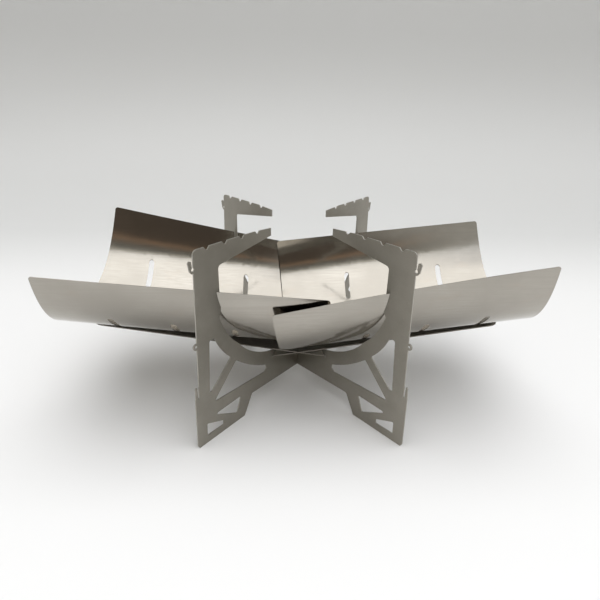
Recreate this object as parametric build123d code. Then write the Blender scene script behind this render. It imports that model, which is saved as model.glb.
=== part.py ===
from build123d import *
import math
import os

# Knock-down sheet-metal fire pit. Two upright leg plates cross in an X and hold the rest:
# two flat support bars, tucked under lips in the plates, and two springy fire panels that
# are bent into troughs between the uprights and lie on the bars.
# Origin: on the floor, midway between the four feet. +X runs along the troughs.

# ---- driving dimensions (mm) ----
PLATE_T = 1.2
BAR_T = 1.0
CROSS_ANGLE = 51.3  # between each leg plate and the X axis, in degrees

# leg plate, drawn as (distance from the centre line, height)
TOP_Z = 200.0
TOP_REACH = 150.0
FOOT_REACH = 160.8
FOOT_HEEL = (95.0, 0.0)
FOOT_CHAMFER = (2.0, 3.0)
KNEE = (82.6, 22.3)
KNEE_R = 3.0
BELLY_Z = 19.5
UPRIGHT_INNER = 122.4
UPRIGHT_LOW_Z = 133.5
SHOULDER_TOP = (124.4, 130.0)  # the bowl-shaped edge runs down from here
SHOULDER_MID = (117.0, 112.0)
SHOULDER_LOW = (101.5, 93.0)
BOWL_EDGE_MID = (75.0, 70.2)
ARM_TIP = 49.5
ARM_TIP_LOW_Z = 191.0
ARM_TIP_HIGH_Z = 198.6
ARM_NOSE = 76.0  # the top of the arm drops away a little from here to its tip
ARM_ROOT_Z = 179.5
ARM_ROOT_R = 4.0
CORNER_R = 4.5
NOTCH_FIRST = 69.5
NOTCH_PITCH = 21.6
NOTCH_COUNT = 4
NOTCH_HALF_W = 3.2
NOTCH_FLOOR_HALF_W = 0.9
NOTCH_DEPTH = 2.8
LIP = (41.0, 59.2)
LIP_UNDERSIDE = (44.0, 53.5)
BED_Z = 50.8  # floor of the recess in which the bars cross
BED_REACH = 48.8
BED_SLOT_Z = 52.5
HALF_LAP_Z = 35.0
HALF_LAP_W = 1.9

# windows of the leg plate, in the same plane
UPPER_WINDOW_OUTER = (138.2, 110.6)
UPPER_WINDOW_LOW = (142.0, 52.6)
UPPER_WINDOW_ARC = ((111.6, 81.0), (123.4, 94.6), (131.6, 110.6))
UPPER_WINDOW_R = 2.2
MIDDLE_WINDOW_OUTER = (137.0, 42.0)
MIDDLE_WINDOW_LOW = (62.0, 38.4)
MIDDLE_WINDOW_STEP = (58.4, 42.0)
MIDDLE_WINDOW_ARC = ((58.8, 46.4), (82.0, 57.6), (105.0, 74.4))
MIDDLE_WINDOW_R = 1.6
LOWER_WINDOW = ((99.6, 28.2), (106.4, 10.4), (138.0, 27.2))
LOWER_WINDOW_R = 1.5
TOE_WINDOW = ((126.2, 13.2), (126.0, 8.0), (148.2, 8.4), (147.8, 22.6))
TOE_WINDOW_R = 1.2

# small hanging features on the outer edge of each upright
HOOK_EYE = (151.1, 183.6)
HOOK_EYE_R = 1.6
HOOK_BODY = (  # outline, measured from the middle of the eye
    (-2.0, -4.2), (1.4, -3.5), (3.6, -1.0), (4.9, 6.4), (3.4, 8.2), (1.2, 7.4), (0.6, 1.0), (-2.0, 1.0)
)
HOOK_SLIT = ((-0.4, 0.0), (0.4, 0.0), (1.1, 9.0), (-0.7, 9.0))
EYELET = (153.9, 110.9)
EYELET_R = 3.3
EYELET_HOLE_R = 1.4
CATCH_EDGE = 154.6
CATCH_TOP_Z = 69.0
CATCH_FLOOR_Z = 56.5
CATCH_SLOT_W = 1.6
CATCH_SLOT_TILT = 2.0
CATCH_FINGER = (  # outline, measured from the upright's edge at the top of the catch
    (-1.0, -18.5), (4.9, -18.5), (4.2, -1.2), (3.0, 0.0), (1.6, -0.6), (-1.0, -0.6)
)

# support bars
BAR_HALF_W = 37.0
BAR_NEAR_X = -29.6
BAR_FAR_X = 220.0
BAR_NEAR_Z = 51.6
BAR_SLOPE = 0.16
BAR_END_R = 9.0
BAR_LAP_GAP = 0.2

# Fire panels. Every cross-section of the right-hand one is a U through its two top corners
# (front, back) and its lowest point. Flare straightens the walls towards their top edges
# and fullness widens the bottom; with neither, the section is half an ellipse.
PANEL_T = 0.5
PANEL_SECTIONS = (
    {"front": (-28.6, -101.6, 133.6), "back": (-25.8, 93.5, 145.1), "low": (-16.5, 0.0, 61.0),
     "flare": -0.06, "fullness": 0.0},
    {"front": (79.5, -99.4, 155.4), "back": (79.5, 99.3, 155.8), "low": (90.4, -1.4, 75.5),
     "flare": 0.17, "fullness": 0.03},
    {"front": (228.6, -104.8, 184.6), "back": (236.8, 105.4, 171.8), "low": (244.3, -3.5, 96.4),
     "flare": 0.51, "fullness": 0.07},
)
PANEL_STEPS = 12
PANEL_CORNER_R = 3.0
PANEL_GAP = 0.35  # clearance where the two panels pass through each other
VENT_W = 6.0
VENT_FIRST_X = 65.5
VENT_PITCH = 59.2
VENT_COUNT = 3
VENT_Y = (52.5, 77.0)
LEG_SLIT_GAP = 0.45  # clearance of the slits that hook the panels onto the uprights
LEG_SLIT_LOW_Z = 100.0

FAR = 400.0

os.makedirs("parts", exist_ok=True)


def filled(lines):
    return make_face(Wire([edge for line in lines for edge in line.edges()]))


def polygon(points, radius=0.0):
    outline = Polyline(*points, close=True)
    face = make_face(outline)
    if radius > 0.0:
        face = fillet(face.vertices(), radius)
    return face


def half_plate_outline():
    """The right half of a leg plate, from the centre line to the foot, arm and web."""
    foot_corner = (FOOT_REACH - FOOT_CHAMFER[0], 0.0)
    foot_side = (FOOT_REACH, FOOT_CHAMFER[1])
    catch_low = (CATCH_EDGE + CATCH_FINGER[1][0], CATCH_FLOOR_Z)
    catch_side = (CATCH_EDGE, CATCH_TOP_Z - 2.0)
    outline = [
        (0.0, BED_Z),
        (0.0, BELLY_Z),
        KNEE,
        FOOT_HEEL,
        foot_corner,
        foot_side,
        catch_low,
        catch_side,
        (TOP_REACH, TOP_Z),
        (ARM_NOSE, TOP_Z),
        (ARM_TIP, ARM_TIP_HIGH_Z),
        (ARM_TIP, ARM_TIP_LOW_Z),
        (UPRIGHT_INNER, ARM_ROOT_Z),
        (UPRIGHT_INNER, UPRIGHT_LOW_Z),
        SHOULDER_TOP,
    ]
    recess = [LIP, LIP_UNDERSIDE, (BED_REACH, BED_SLOT_Z), (BED_REACH, BED_Z), (0.0, BED_Z)]
    return filled([
        Polyline(*outline),
        ThreePointArc(SHOULDER_TOP, SHOULDER_MID, SHOULDER_LOW),
        ThreePointArc(SHOULDER_LOW, BOWL_EDGE_MID, LIP),
        Polyline(*recess),
    ])


def near(vertex, point):
    return math.hypot(vertex.X - point[0], vertex.Y - point[1]) < 0.5


def corner(face, point):
    return [v for v in face.vertices() if near(v, point)]


def arm_notches():
    """V notches along the top of the arm that hold skewers and grill bars."""
    notches = []
    floor = TOP_Z - NOTCH_DEPTH
    for i in range(NOTCH_COUNT):
        u = NOTCH_FIRST + i * NOTCH_PITCH
        notches.append(polygon([
            (u - NOTCH_HALF_W, TOP_Z + 1.0),
            (u - NOTCH_HALF_W, TOP_Z),
            (u - NOTCH_FLOOR_HALF_W, floor),
            (u + NOTCH_FLOOR_HALF_W, floor),
            (u + NOTCH_HALF_W, TOP_Z),
            (u + NOTCH_HALF_W, TOP_Z + 1.0),
        ]))
    return notches


def truss_windows():
    """Four windows that lighten the leg."""
    upper = filled([
        Polyline(UPPER_WINDOW_ARC[2], UPPER_WINDOW_OUTER, UPPER_WINDOW_LOW, UPPER_WINDOW_ARC[0]),
        ThreePointArc(*UPPER_WINDOW_ARC),
    ])
    middle = filled([
        Polyline(
            MIDDLE_WINDOW_ARC[2],
            MIDDLE_WINDOW_OUTER,
            MIDDLE_WINDOW_LOW,
            MIDDLE_WINDOW_STEP,
            MIDDLE_WINDOW_ARC[0],
        ),
        ThreePointArc(*MIDDLE_WINDOW_ARC),
    ])
    return [
        fillet(upper.vertices(), UPPER_WINDOW_R),
        fillet(middle.vertices(), MIDDLE_WINDOW_R),
        polygon(LOWER_WINDOW, LOWER_WINDOW_R),
        polygon(TOE_WINDOW, TOE_WINDOW_R),
    ]


def side_hook():
    """Small open hook near the top of the upright."""
    return Pos(*HOOK_EYE) * polygon(HOOK_BODY)


def side_hook_gap():
    """The eye at the bottom of the hook and the slit that leads down to it."""
    return Pos(*HOOK_EYE) * (Circle(HOOK_EYE_R) + polygon(HOOK_SLIT))


def side_catch():
    """Finger low on the upright that stands clear of it, open at the top."""
    return Pos(CATCH_EDGE, CATCH_TOP_Z) * polygon(CATCH_FINGER)


def side_catch_gap():
    """Upward slot behind the finger."""
    length = CATCH_TOP_Z - CATCH_FLOOR_Z + 4.0
    slot = Rot(0, 0, 90) * SlotOverall(length, CATCH_SLOT_W)
    middle = Pos(CATCH_EDGE + 0.7 * CATCH_SLOT_W, CATCH_FLOOR_Z + length / 2.0)
    return middle * Rot(0, 0, -CATCH_SLOT_TILT) * slot


def half_plate():
    face = half_plate_outline()
    face = fillet(corner(face, (TOP_REACH, TOP_Z)), CORNER_R)
    face = fillet(corner(face, (UPRIGHT_INNER, ARM_ROOT_Z)), ARM_ROOT_R)
    face = fillet(corner(face, KNEE), KNEE_R)
    face = face + side_hook() + side_catch()
    face = face + Pos(*EYELET) * Circle(EYELET_R)
    cuts = arm_notches() + truss_windows()
    cuts += [side_hook_gap(), side_catch_gap(), Pos(*EYELET) * Circle(EYELET_HOLE_R)]
    for cut in cuts:
        face = face - cut
    return face


def plate(angle, slot_from_below):
    """A whole leg plate, half-lapped at the centre and turned to its crossing angle."""
    right = half_plate()
    left = mirror(right, about=Plane.YZ)
    lap_low = BELLY_Z - 5.0 if slot_from_below else HALF_LAP_Z
    lap_high = HALF_LAP_Z if slot_from_below else BED_Z + 5.0
    lap = Pos(0, (lap_low + lap_high) / 2.0) * Rectangle(HALF_LAP_W, lap_high - lap_low)
    face = right + left - lap
    upright = Plane.XZ * face
    slab = extrude(upright, amount=PLATE_T / 2.0, both=True)
    return Rot(0, 0, angle) * slab


def bar_blank(side, thickness, margin=0.0):
    """A flat support bar, rising outward; side is +1 for the right-hand bar."""
    angle = math.degrees(math.atan(BAR_SLOPE))
    run = math.hypot(1.0, BAR_SLOPE)
    length = (BAR_FAR_X - BAR_NEAR_X) * run + 2.0 * margin
    width = 2.0 * (BAR_HALF_W + margin)
    blank = extrude(
        Pos(length / 2.0 - margin, 0) * Rectangle(length, width), amount=thickness / 2.0, both=True
    )
    if margin == 0.0:
        outer = blank.edges().filter_by(Axis.Z).group_by(Axis.X)[-1]
        blank = fillet(outer, BAR_END_R)
    placed = Pos(BAR_NEAR_X, 0, BAR_NEAR_Z) * Rot(0, -angle, 0) * blank
    if side < 0:
        placed = Rot(0, 0, 180) * placed
    return placed


def half_space(front):
    """Everything in front of (or behind) the XZ plane, with a little overrun."""
    y = -FAR / 2.0 + 0.3 if front else FAR / 2.0 - 0.3
    return Pos(0, y, 0) * Box(2.0 * FAR, FAR, 2.0 * FAR)


def bar(side):
    """Each bar is slit over half its width where the two bars cross."""
    other = bar_blank(-side, BAR_T + 2.0 * BAR_LAP_GAP, 2.0) & half_space(side < 0)
    return bar_blank(side, BAR_T) - other


def section_face(section, thickness):
    """Closed strip of the sheet's thickness along one U-shaped section."""
    front, back, low = [Vector(*section[key]) for key in ("front", "back", "low")]
    flare, fullness = section["flare"], section["fullness"]
    middle = (front + back) * 0.5
    across = (front - back) * 0.5
    down = low - middle
    normal = across.cross(down).normalized()
    outer_points = []
    inner_points = []
    for i in range(PANEL_STEPS + 1):
        t = math.pi * (0.5 - i / PANEL_STEPS)
        width = (1.0 - flare) * math.sin(t) + flare * 2.0 * t / math.pi
        depth = math.cos(t) + fullness * (math.cos(t) - math.cos(3.0 * t))
        width_rate = (1.0 - flare) * math.cos(t) + flare * 2.0 / math.pi
        depth_rate = -math.sin(t) + fullness * (3.0 * math.sin(3.0 * t) - math.sin(t))
        point = middle + across * width + down * depth
        tangent = across * width_rate + down * depth_rate
        side = normal.cross(tangent).normalized() * (thickness / 2.0)
        outer_points.append(point + side)
        inner_points.append(point - side)
    return filled([
        Spline(*outer_points),
        Line(outer_points[-1], inner_points[-1]),
        Spline(*reversed(inner_points)),
        Line(inner_points[0], outer_points[0]),
    ])


def panel_shell(thickness):
    """The right-hand panel, before it is slit."""
    return loft([section_face(section, thickness) for section in PANEL_SECTIONS])


def rounded_corners(shell):
    """Rounds the four free corners of the sheet."""
    short = [e for e in shell.edges() if abs(e.length - PANEL_T) < 0.01]
    return fillet(short, PANEL_CORNER_R)


def vents():
    """Slots down both walls."""
    cutters = []
    low, high = VENT_Y
    outline = Rot(0, 0, 90) * SlotOverall(high - low + VENT_W, VENT_W)
    for i in range(VENT_COUNT):
        x = VENT_FIRST_X + i * VENT_PITCH
        for wall in (-1, 1):
            y = wall * (low + high) / 2.0
            cutters.append(Pos(x, y, 0) * extrude(outline, amount=TOP_Z))
    return cutters


def leg_slits():
    """Slits from the top edges down, in which the inner edges of the uprights stand."""
    length = TOP_REACH - UPRIGHT_INNER
    height = TOP_Z - LEG_SLIT_LOW_Z
    blade = Pos(UPRIGHT_INNER - LEG_SLIT_GAP + length / 2.0, 0, LEG_SLIT_LOW_Z + height / 2.0) * Box(
        length, PLATE_T + 2.0 * LEG_SLIT_GAP, height
    )
    return [Rot(0, 0, wall * CROSS_ANGLE) * blade for wall in (-1, 1)]


def panel(side):
    """A fire panel; the left-hand one is the right-hand one turned half round about Z."""
    passing = Rot(0, 0, 180) * panel_shell(PANEL_T + 2.0 * PANEL_GAP)
    inner_side = Pos(PANEL_GAP - FAR / 2.0, 0, 0) * Box(FAR, FAR, FAR)
    sheet = rounded_corners(panel_shell(PANEL_T)) - (passing & inner_side)
    for cutter in vents() + leg_slits():
        sheet = sheet - cutter
    if side < 0:
        sheet = Rot(0, 0, 180) * sheet
    return sheet


def write(shape, name):
    shape.label = name
    export_step(shape, f"parts/{name}.step")
    print(name, len(shape.solids()), round(shape.volume), shape.bounding_box())


if __name__ == "__main__":
    write(plate(CROSS_ANGLE, True), "leg_plate_over")
    write(plate(-CROSS_ANGLE, False), "leg_plate_under")
    write(bar(1), "support_bar_right")
    write(bar(-1), "support_bar_left")
    write(panel(1), "fire_panel_right")
    write(panel(-1), "fire_panel_left")
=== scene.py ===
import bpy
import math
from mathutils import Matrix, Vector

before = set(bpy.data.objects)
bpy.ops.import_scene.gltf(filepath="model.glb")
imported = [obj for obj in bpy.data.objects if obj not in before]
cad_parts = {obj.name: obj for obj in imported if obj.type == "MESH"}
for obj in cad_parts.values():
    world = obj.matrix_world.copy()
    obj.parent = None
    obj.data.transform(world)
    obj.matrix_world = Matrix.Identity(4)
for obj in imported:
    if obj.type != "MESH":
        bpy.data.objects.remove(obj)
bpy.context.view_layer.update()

# ---- camera ----
CAMERA_PLACE = Vector((-0.0219, -0.4795, 0.3184))
CAMERA_YAW = 2.80
CAMERA_PITCH = 24.08
CAMERA_ROLL = 1.38
CAMERA_LENS = 27.53

# ---- metal: light and dark tone, painted cut-edge tone, roughness ----
LEG_TURN = math.radians(51.3)  # each leg plate's turn about Z, one way or the other
# the third leg tone is a painted highlight along the plates' cut edges
LEG_LIGHT, LEG_DARK, LEG_EDGE_HIGHLIGHT = (0.33, 0.31, 0.27), (0.27, 0.255, 0.22), (0.42, 0.4, 0.36)
LEG_ROUGHNESS = 0.42
# the bars are the legs' titanium painted lighter: painted light lifting their top faces out of
# the shade under the panels
BAR_LIT_LIGHT, BAR_LIT_DARK, BAR_RIM = (0.5, 0.475, 0.43), (0.42, 0.4, 0.36), (0.27, 0.25, 0.22)
BAR_ROUGHNESS = 0.6
PANEL_LIGHT, PANEL_DARK = (0.43, 0.405, 0.363), (0.36, 0.338, 0.3)
PANEL_ROUGHNESS = 0.14
PANEL_WARMTH = (0.93, 0.85, 0.79)  # tint of the handling marks
SCUFF_GAIN = 1.25
CUT_SWING, SPRING_SWING = 0.16, 0.14  # how far roughness varies across a sheet
GRAIN_DEPTH, LINE_DEPTH, WAVE_DEPTH = 0.00006, 0.00005, 0.0006  # metres

# ---- stage and light, metres ----
STAGE_WIDTH, STAGE_DEPTH, STAGE_HEIGHT, STAGE_BEND = 3.0, 1.2, 2.2, 0.5
STAGE_NEAR = -0.45
STAGE_STEPS = 12
APRON_FAR, APRON_WIDEN = 2.0, 3.0
# the far tone is painted shade: the backdrop gets less light than the floor
PAPER_NEAR, PAPER_FAR_SHADED = (0.83, 0.83, 0.83), (0.68, 0.685, 0.68)
PAPER_SHADE_FADE = (0.2, 0.7)  # from one tone to the other, along Y
PAPER_ROUGHNESS = 0.45
TOP_PLACE, TOP_TARGET = (0.0, 0.1, 1.4), (0.0, 0.0, 0.1)
TOP_SIZE, TOP_POWER = (1.6, 1.0), 3.0
ROOM_TILT = 0.25
ROOM_STRENGTH = 2.15
ROOM_STOPS = (  # sine of the angle above the horizon, and colour
    (0.0, (0.055, 0.045, 0.037)),
    (0.42, (0.06, 0.048, 0.038)),
    (0.5, (0.2, 0.135, 0.09)),
    (0.54, (0.09, 0.08, 0.068)),
    (0.62, (0.11, 0.11, 0.1)),
    (0.67, (0.3, 0.29, 0.26)),
    (0.72, (0.88, 0.89, 0.89)),
    (0.82, (1.0, 1.0, 1.0)),
)
PALE_WALL, PALE_TINT = (0.42, 0.41, 0.38), (0.66, 0.67, 0.69)
BACKDROP = (0.66, 0.66, 0.65, 1.0)


def make_camera():
    data = bpy.data.cameras.new("camera")
    data.lens = CAMERA_LENS
    data.sensor_width = 36.0
    data.clip_start = 0.01
    camera = bpy.data.objects.new("camera", data)
    bpy.context.collection.objects.link(camera)
    turn = Matrix.Rotation(-math.radians(CAMERA_YAW), 4, "Z")
    tilt = Matrix.Rotation(math.radians(90.0 - CAMERA_PITCH), 4, "X")
    roll = Matrix.Rotation(math.radians(CAMERA_ROLL), 4, "Z")
    camera.matrix_world = Matrix.Translation(CAMERA_PLACE) @ turn @ tilt @ roll
    bpy.context.scene.camera = camera


def node(tree, kind, **values):
    made = tree.nodes.new(kind)
    for name, value in values.items():
        made.inputs[name].default_value = value
    return made


def math_node(tree, operation, first, second=None):
    made = tree.nodes.new("ShaderNodeMath")
    made.operation = operation
    for socket, value in zip(made.inputs, (first, second)):
        if value is None:
            continue
        if isinstance(value, (int, float)):
            socket.default_value = value
        else:
            tree.links.new(value, socket)
    return made.outputs[0]


def noise(tree, vector, scale, detail, roughness):
    made = node(tree, "ShaderNodeTexNoise", Scale=scale, Detail=detail, Roughness=roughness)
    tree.links.new(vector, made.inputs["Vector"])
    return made.outputs["Fac"]


def stretched(tree, vector, scale, turn=0.0):
    """The same place, turned about Z and stretched by a factor per axis."""
    made = tree.nodes.new("ShaderNodeMapping")
    made.vector_type = "POINT"
    made.inputs["Rotation"].default_value = (0.0, 0.0, turn)
    made.inputs["Scale"].default_value = scale
    tree.links.new(vector, made.inputs["Vector"])
    return made.outputs["Vector"]


def mix_colour(tree, factor, first, second, blend="MIX"):
    made = tree.nodes.new("ShaderNodeMix")
    made.data_type = "RGBA"
    made.blend_type = blend
    sockets = [made.inputs["Factor"], made.inputs[6], made.inputs[7]]
    for socket, value in zip(sockets, (factor, first, second)):
        if isinstance(value, (int, float)):
            socket.default_value = value
        elif isinstance(value, tuple):
            socket.default_value = (*value, 1.0)
        else:
            tree.links.new(value, socket)
    return made.outputs[2]


def spread(tree, value, low, high, out_low=0.0, out_high=1.0):
    """A smooth ramp from out_low to out_high as the value goes from low to high."""
    made = node(tree, "ShaderNodeMapRange")
    made.interpolation_type = "SMOOTHSTEP"
    made.inputs["From Min"].default_value = low
    made.inputs["From Max"].default_value = high
    made.inputs["To Min"].default_value = out_low
    made.inputs["To Max"].default_value = out_high
    tree.links.new(value, made.inputs["Value"])
    return made.outputs["Result"]


def bump(tree, height, distance, strength, normal=None):
    made = node(tree, "ShaderNodeBump", Strength=strength, Distance=distance)
    tree.links.new(height, made.inputs["Height"])
    if normal is not None:
        tree.links.new(normal, made.inputs["Normal"])
    return made.outputs["Normal"]


def set_roughness(tree, shader, pattern, middle, swing):
    """Roughness that varies with a pattern, by the swing in all, about the middle."""
    rough = math_node(tree, "MULTIPLY_ADD", pattern, swing)
    rough.node.inputs[2].default_value = middle - swing / 2.0
    tree.links.new(rough, shader.inputs["Roughness"])


def new_material(name):
    material = bpy.data.materials.new(name)
    material.use_nodes = True
    tree = material.node_tree
    shader = tree.nodes["Principled BSDF"]
    shader.inputs["Metallic"].default_value = 1.0
    return material, tree, shader


def cut_sheet(name, angle, light, dark, edge_tone, roughness):
    """Flat bead-dulled titanium sheet whose cut edges are painted apart from its faces: a
    painted highlight on the legs, darker than the faces on the bars.

    angle is the turn about Z of the sheet, or None for one that lies nearly level."""
    material, tree, shader = new_material(name)
    geometry = tree.nodes.new("ShaderNodeNewGeometry")
    place = tree.nodes.new("ShaderNodeTexCoord").outputs["Object"]
    blotches = noise(tree, place, 22.0, 5.0, 0.6)
    grain = noise(tree, place, 1900.0, 2.0, 0.5)
    turn = -angle if angle is not None else 0.0
    rolling = noise(tree, stretched(tree, place, (14.0, 600.0, 600.0), turn), 1.0, 3.0, 0.6)
    colour = mix_colour(tree, spread(tree, blotches, 0.3, 0.7), dark, light)
    colour = mix_colour(tree, spread(tree, grain, 0.35, 0.75, 0.0, 0.3), colour, light)
    scuffs = spread(tree, rolling, 0.58, 0.78, 0.0, 0.35)
    colour = mix_colour(tree, scuffs, colour, tuple(SCUFF_GAIN * v for v in light))

    # the faces across the sheet's thickness are its cut edges, painted by which way they face: a
    # painted highlight on the legs, darker than the faces on the bars
    flat = (math.sin(angle), -math.cos(angle), 0.0) if angle is not None else (0.0, 0.0, 1.0)
    facing = tree.nodes.new("ShaderNodeVectorMath")
    facing.operation = "DOT_PRODUCT"
    facing.inputs[1].default_value = flat
    tree.links.new(geometry.outputs["Normal"], facing.inputs[0])
    across = math_node(tree, "ABSOLUTE", facing.outputs["Value"])
    painted_edge_mask = spread(tree, across, 0.55, 0.85, 1.0, 0.0)
    colour = mix_colour(tree, painted_edge_mask, colour, edge_tone)
    tree.links.new(colour, shader.inputs["Base Color"])

    set_roughness(tree, shader, blotches, roughness, CUT_SWING)
    fine = bump(tree, grain, GRAIN_DEPTH, 0.35)
    tree.links.new(bump(tree, rolling, LINE_DEPTH, 0.3, fine), shader.inputs["Normal"])
    return material


def spring_sheet(name, light, dark, roughness):
    """Thin rolled titanium: fine roll lines along the trough, faint waves and handling marks."""
    material, tree, shader = new_material(name)
    place = tree.nodes.new("ShaderNodeTexCoord").outputs["Object"]
    blotches = noise(tree, place, 13.0, 4.0, 0.55)
    smudges = noise(tree, stretched(tree, place, (1.0, 2.2, 1.6)), 31.0, 5.0, 0.62)
    lines = noise(tree, stretched(tree, place, (7.0, 520.0, 520.0)), 1.0, 3.0, 0.6)
    waves = noise(tree, stretched(tree, place, (2.5, 26.0, 26.0)), 1.0, 1.0, 0.4)
    colour = mix_colour(tree, spread(tree, blotches, 0.32, 0.68), dark, light)
    warm = tuple(v * tint for v, tint in zip(light, PANEL_WARMTH))
    colour = mix_colour(tree, spread(tree, smudges, 0.55, 0.75, 0.0, 0.35), colour, warm)
    colour = mix_colour(tree, spread(tree, lines, 0.3, 0.7, 0.0, 0.6), colour, dark)
    tree.links.new(colour, shader.inputs["Base Color"])
    set_roughness(tree, shader, smudges, roughness, SPRING_SWING)
    rolled = bump(tree, lines, LINE_DEPTH, 0.4)
    tree.links.new(bump(tree, waves, WAVE_DEPTH, 0.5, rolled), shader.inputs["Normal"])
    return material


def leg_finish(name, angle):
    return cut_sheet(name, angle, LEG_LIGHT, LEG_DARK, LEG_EDGE_HIGHLIGHT, LEG_ROUGHNESS)


def dress():
    bar = cut_sheet("support_bar", None, BAR_LIT_LIGHT, BAR_LIT_DARK, BAR_RIM, BAR_ROUGHNESS)
    panel = spring_sheet("fire_panel", PANEL_LIGHT, PANEL_DARK, PANEL_ROUGHNESS)
    finishes = {
        "leg_plate_over": leg_finish("leg_plate_over", LEG_TURN),
        "leg_plate_under": leg_finish("leg_plate_under", -LEG_TURN),
        "support_bar_right": bar,
        "support_bar_left": bar,
        "fire_panel_right": panel,
        "fire_panel_left": panel,
    }
    for name, finish in finishes.items():
        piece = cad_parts[name]
        piece.data.materials.clear()
        piece.data.materials.append(finish)


def make_paper():
    """Pale paper with painted shade towards the back."""
    paper = bpy.data.materials.new("paper")
    paper.use_nodes = True
    tree = paper.node_tree
    shader = tree.nodes["Principled BSDF"]
    way = tree.nodes.new("ShaderNodeSeparateXYZ")
    place = tree.nodes.new("ShaderNodeNewGeometry").outputs["Position"]
    tree.links.new(place, way.inputs[0])
    # painted shade: the paper darkens towards the backdrop, which gets less light than the floor
    back = spread(tree, way.outputs["Y"], *PAPER_SHADE_FADE)
    tone = mix_colour(tree, back, PAPER_NEAR, PAPER_FAR_SHADED)
    tree.links.new(tone, shader.inputs["Base Color"])
    shader.inputs["Roughness"].default_value = PAPER_ROUGHNESS
    return paper


def add_mesh(name, verts, faces, material, smooth=False):
    mesh = bpy.data.meshes.new(name)
    mesh.from_pydata(verts, [], faces)
    for face in mesh.polygons:
        face.use_smooth = smooth
    mesh.materials.append(material)
    made = bpy.data.objects.new(name, mesh)
    bpy.context.collection.objects.link(made)
    return made


def make_sweep(paper):
    """Pale floor that sweeps up into a backdrop."""
    bend, foot = STAGE_BEND, STAGE_DEPTH - STAGE_BEND
    profile = [(STAGE_NEAR, 0.0), (foot, 0.0)]
    for i in range(1, STAGE_STEPS + 1):
        a = math.pi / 2 * i / STAGE_STEPS
        profile.append((foot + bend * math.sin(a), bend - bend * math.cos(a)))
    profile.append((STAGE_DEPTH, STAGE_HEIGHT))
    verts = [(x, y, z) for y, z in profile for x in (-STAGE_WIDTH, STAGE_WIDTH)]
    faces = [(2 * i, 2 * i + 1, 2 * i + 3, 2 * i + 2) for i in range(len(profile) - 1)]
    sweep = add_mesh("sweep", verts, faces, paper, smooth=True)


def make_apron(paper):
    """More of the same paper for the other views, left out of the metal's reflections."""
    near, far, width, wide = STAGE_NEAR, APRON_FAR, STAGE_WIDTH, APRON_WIDEN * STAGE_WIDTH
    corners = [
        [(-wide, -wide), (wide, -wide), (wide, near), (-wide, near)],
        [(-wide, near), (-width, near), (-width, far), (-wide, far)],
        [(width, near), (wide, near), (wide, far), (width, far)],
    ]
    verts = [(x, y, 0.0) for corner in corners for x, y in corner]
    faces = [(4 * i, 4 * i + 1, 4 * i + 2, 4 * i + 3) for i in range(len(corners))]
    apron = add_mesh("apron", verts, faces, paper)
    apron.visible_glossy = False
    apron.visible_diffuse = False
    apron.visible_shadow = False


def make_light(name, place, target, size, power):
    data = bpy.data.lights.new(name, "AREA")
    data.shape = "RECTANGLE"
    data.size, data.size_y = size
    data.energy = power
    light = bpy.data.objects.new(name, data)
    bpy.context.collection.objects.link(light)
    light.location = place
    light.rotation_mode = "QUATERNION"
    light.rotation_quaternion = (Vector(target) - Vector(place)).to_track_quat("-Z", "Y")
    return light


def make_room():
    """A soft bright room overhead, with a dim wall in front below the level of the lights."""
    world = bpy.data.worlds.new("room")
    world.use_nodes = True
    tree = world.node_tree
    sky = tree.nodes["Background"]
    way = tree.nodes.new("ShaderNodeSeparateXYZ")
    tree.links.new(tree.nodes.new("ShaderNodeTexCoord").outputs["Generated"], way.inputs[0])
    # the lights come down lower on the right
    level = math_node(tree, "MULTIPLY_ADD", way.outputs["X"], ROOM_TILT)
    tree.links.new(way.outputs["Z"], level.node.inputs[2])
    wall = tree.nodes.new("ShaderNodeValToRGB")
    ramp = wall.color_ramp
    while len(ramp.elements) < len(ROOM_STOPS):
        ramp.elements.new(0.5)
    for element, (position, colour) in zip(ramp.elements, ROOM_STOPS):
        element.position = position
        element.color = (*colour, 1.0)
    tree.links.new(level, wall.inputs["Fac"])
    # the room is dim only in front: the right, the left and the back are paler
    right = spread(tree, way.outputs["X"], 0.14, 0.32)
    left = spread(tree, way.outputs["X"], -0.75, -0.45, 1.0, 0.0)
    behind = spread(tree, way.outputs["Y"], -0.45, -0.05)
    around = math_node(tree, "MAXIMUM", right, math_node(tree, "MAXIMUM", left, behind))
    below_top = spread(tree, way.outputs["Z"], 0.8, 0.93, 1.0, 0.0)
    pale = math_node(tree, "MULTIPLY", around, below_top)
    lit = mix_colour(tree, 1.0, wall.outputs["Color"], PALE_WALL, "LIGHTEN")
    shade = mix_colour(tree, pale, wall.outputs["Color"], lit)
    soft = mix_colour(tree, 1.0, shade, PALE_TINT, "MULTIPLY")
    tree.links.new(mix_colour(tree, pale, shade, soft), sky.inputs["Color"])
    sky.inputs["Strength"].default_value = ROOM_STRENGTH
    # what the camera itself sees past the floor is plain paper
    paper = node(tree, "ShaderNodeBackground", Color=BACKDROP, Strength=1.0)
    seen = tree.nodes.new("ShaderNodeMixShader")
    path = tree.nodes.new("ShaderNodeLightPath")
    tree.links.new(path.outputs["Is Camera Ray"], seen.inputs[0])
    tree.links.new(sky.outputs[0], seen.inputs[1])
    tree.links.new(paper.outputs[0], seen.inputs[2])
    tree.links.new(seen.outputs[0], tree.nodes["World Output"].inputs["Surface"])
    bpy.context.scene.world = world


def make_lights():
    top = make_light("top", TOP_PLACE, TOP_TARGET, TOP_SIZE, TOP_POWER)
    top.visible_glossy = False
    bpy.context.scene.view_settings.view_transform = "Standard"


make_camera()
dress()
floor_paper = make_paper()
make_sweep(floor_paper)
make_apron(floor_paper)
make_room()
make_lights()
